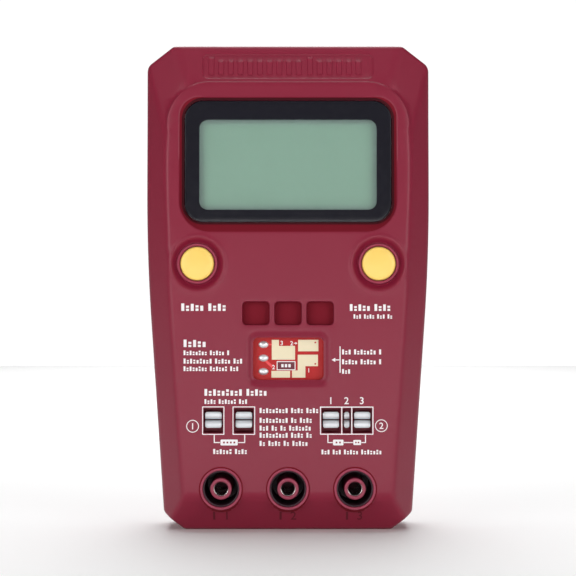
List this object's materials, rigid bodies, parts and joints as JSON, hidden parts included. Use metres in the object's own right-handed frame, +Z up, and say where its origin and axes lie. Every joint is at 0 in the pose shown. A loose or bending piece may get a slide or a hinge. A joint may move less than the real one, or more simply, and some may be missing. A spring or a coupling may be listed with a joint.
{
  "type": "component tester",
  "caption": "Palm-size component tester with a display, push buttons, spring-clip ports, a surface-mount pad window and shrouded sockets.",
  "frame": {"origin": "middle of the bottom end face, centred in width and depth, where the tester stands on its end", "axes": "+Z up towards the display end, -Y out of the front face, +X to the right seen from the front"},
  "size_m": [0.085, 0.0342, 0.1452],
  "materials": {
    "case_red": "fine texture",
    "cap_yellow": "smooth satin",
    "black_plastic": "moulded",
    "lens": "polished, black border",
    "lcd": "satin polariser",
    "white_plastic": "moulded",
    "board_red": "solder mask",
    "board_green": "solder mask",
    "resistor_body": "lacquered",
    "capacitor_sleeve": "shrunk sleeve",
    "battery_sleeve": "printed sleeve, left plain",
    "wire_red": "insulation",
    "wire_black": "insulation",
    "nickel": "plated",
    "tin": "tinned spring strip",
    "zinc_steel": "zinc plated"
  },
  "bodies": {
    "case": {"front_shell": "case_red", "rear_shell": "case_red", "case_screw_1": "zinc_steel", "case_screw_2": "zinc_steel", "case_screw_3": "zinc_steel", "case_screw_4": "zinc_steel", "board_screw_1": "zinc_steel", "board_screw_2": "zinc_steel", "board_screw_3": "zinc_steel", "board_screw_4": "zinc_steel", "display_lens": "lens", "lcd_glass": "lcd", "lcd_backlight": "white_plastic", "lcd_holder": "white_plastic", "main_board": "board_green", "left_switch_body": "black_plastic", "right_switch_body": "black_plastic", "pad_board": "board_red", "pad_pin_header": "black_plastic", "port1_clip_block": "case_red", "port2_clip_block": "case_red", "jack_1_liner": "black_plastic", "jack_1_post": "case_red", "jack_1_sleeve": "nickel", "jack_2_liner": "black_plastic", "jack_2_post": "case_red", "jack_2_sleeve": "nickel", "jack_3_liner": "black_plastic", "jack_3_post": "case_red", "jack_3_sleeve": "nickel", "jack_board": "board_green", "jack_pin_header": "black_plastic", "microcontroller": "black_plastic", "crystal": "zinc_steel", "voltage_regulator": "black_plastic", "filter_capacitor": "capacitor_sleeve", "discharge_resistor": "resistor_body", "battery_lead_red": "wire_red", "battery_lead_black": "wire_black"},
    "left_button": {"left_button_cap": "cap_yellow", "left_switch_plunger": "white_plastic"},
    "right_button": {"right_button_cap": "cap_yellow", "right_switch_plunger": "white_plastic"},
    "cover": {"battery_cover": "case_red", "battery_cover_screw": "zinc_steel"},
    "battery_pack": {"battery": "battery_sleeve", "battery_plus_stud": "nickel", "battery_minus_stud": "nickel", "snap_connector": "black_plastic"},
    "port1_left_upper": {"port1_left_upper_leaf": "tin"},
    "port1_left_lower": {"port1_left_lower_leaf": "tin"},
    "port1_right_upper": {"port1_right_upper_leaf": "tin"},
    "port1_right_lower": {"port1_right_lower_leaf": "tin"},
    "port2_pin1_upper": {"port2_pin1_upper_leaf": "tin"},
    "port2_pin1_lower": {"port2_pin1_lower_leaf": "tin"},
    "port2_pin2_upper": {"port2_pin2_upper_leaf": "tin"},
    "port2_pin2_lower": {"port2_pin2_lower_leaf": "tin"},
    "port2_pin3_upper": {"port2_pin3_upper_leaf": "tin"},
    "port2_pin3_lower": {"port2_pin3_lower_leaf": "tin"}
  },
  "joints": [
    {"name": "left_button_press", "type": "slide", "parent": "case", "child": "left_button", "axis": [0, 1, 0], "range_m": [0, 0.0004], "stiffness_N_per_m": 300, "springref_m": -0.0005},
    {"name": "right_button_press", "type": "slide", "parent": "case", "child": "right_button", "axis": [0, 1, 0], "range_m": [0, 0.0004], "stiffness_N_per_m": 300, "springref_m": -0.0005},
    {"name": "battery_out", "type": "slide", "parent": "case", "child": "battery_pack", "axis": [0, 1, 0], "range_m": [0, 0.025]},
    {"name": "cover_off", "type": "slide", "parent": "case", "child": "cover", "axis": [0, 1, 0], "range_m": [0, 0.06]},
    {"name": "port1_left_upper_flex", "type": "hinge", "parent": "case", "child": "port1_left_upper", "pos_m": [-0.0221, -0.0087, 0.0348], "axis": [-1, 0, 0], "range_deg": [0, 6], "stiffness_Nm_per_rad": 0.002},
    {"name": "port1_left_lower_flex", "type": "hinge", "parent": "case", "child": "port1_left_lower", "pos_m": [-0.0221, -0.0087, 0.0316], "axis": [1, 0, 0], "range_deg": [0, 6], "stiffness_Nm_per_rad": 0.002},
    {"name": "port1_right_upper_flex", "type": "hinge", "parent": "case", "child": "port1_right_upper", "pos_m": [-0.01307, -0.0087, 0.0348], "axis": [-1, 0, 0], "range_deg": [0, 6], "stiffness_Nm_per_rad": 0.002},
    {"name": "port1_right_lower_flex", "type": "hinge", "parent": "case", "child": "port1_right_lower", "pos_m": [-0.01307, -0.0087, 0.0316], "axis": [1, 0, 0], "range_deg": [0, 6], "stiffness_Nm_per_rad": 0.002},
    {"name": "port2_pin1_upper_flex", "type": "hinge", "parent": "case", "child": "port2_pin1_upper", "pos_m": [0.01275, -0.0087, 0.0348], "axis": [-1, 0, 0], "range_deg": [0, 6], "stiffness_Nm_per_rad": 0.002},
    {"name": "port2_pin1_lower_flex", "type": "hinge", "parent": "case", "child": "port2_pin1_lower", "pos_m": [0.01275, -0.0087, 0.0316], "axis": [1, 0, 0], "range_deg": [0, 6], "stiffness_Nm_per_rad": 0.002},
    {"name": "port2_pin2_upper_flex", "type": "hinge", "parent": "case", "child": "port2_pin2_upper", "pos_m": [0.0174, -0.0087, 0.0348], "axis": [-1, 0, 0], "range_deg": [0, 6], "stiffness_Nm_per_rad": 0.002},
    {"name": "port2_pin2_lower_flex", "type": "hinge", "parent": "case", "child": "port2_pin2_lower", "pos_m": [0.0174, -0.0087, 0.0316], "axis": [1, 0, 0], "range_deg": [0, 6], "stiffness_Nm_per_rad": 0.002},
    {"name": "port2_pin3_upper_flex", "type": "hinge", "parent": "case", "child": "port2_pin3_upper", "pos_m": [0.022, -0.0087, 0.0348], "axis": [-1, 0, 0], "range_deg": [0, 6], "stiffness_Nm_per_rad": 0.002},
    {"name": "port2_pin3_lower_flex", "type": "hinge", "parent": "case", "child": "port2_pin3_lower", "pos_m": [0.022, -0.0087, 0.0316], "axis": [1, 0, 0], "range_deg": [0, 6], "stiffness_Nm_per_rad": 0.002}
  ],
  "couplings": [
    {"joint": "cover_off", "follows": "battery_out", "ratio": 2.4},
    {"joint": "port1_left_lower_flex", "follows": "port1_left_upper_flex", "ratio": 1},
    {"joint": "port1_right_lower_flex", "follows": "port1_right_upper_flex", "ratio": 1},
    {"joint": "port2_pin1_lower_flex", "follows": "port2_pin1_upper_flex", "ratio": 1},
    {"joint": "port2_pin2_lower_flex", "follows": "port2_pin2_upper_flex", "ratio": 1},
    {"joint": "port2_pin3_lower_flex", "follows": "port2_pin3_upper_flex", "ratio": 1}
  ]
}
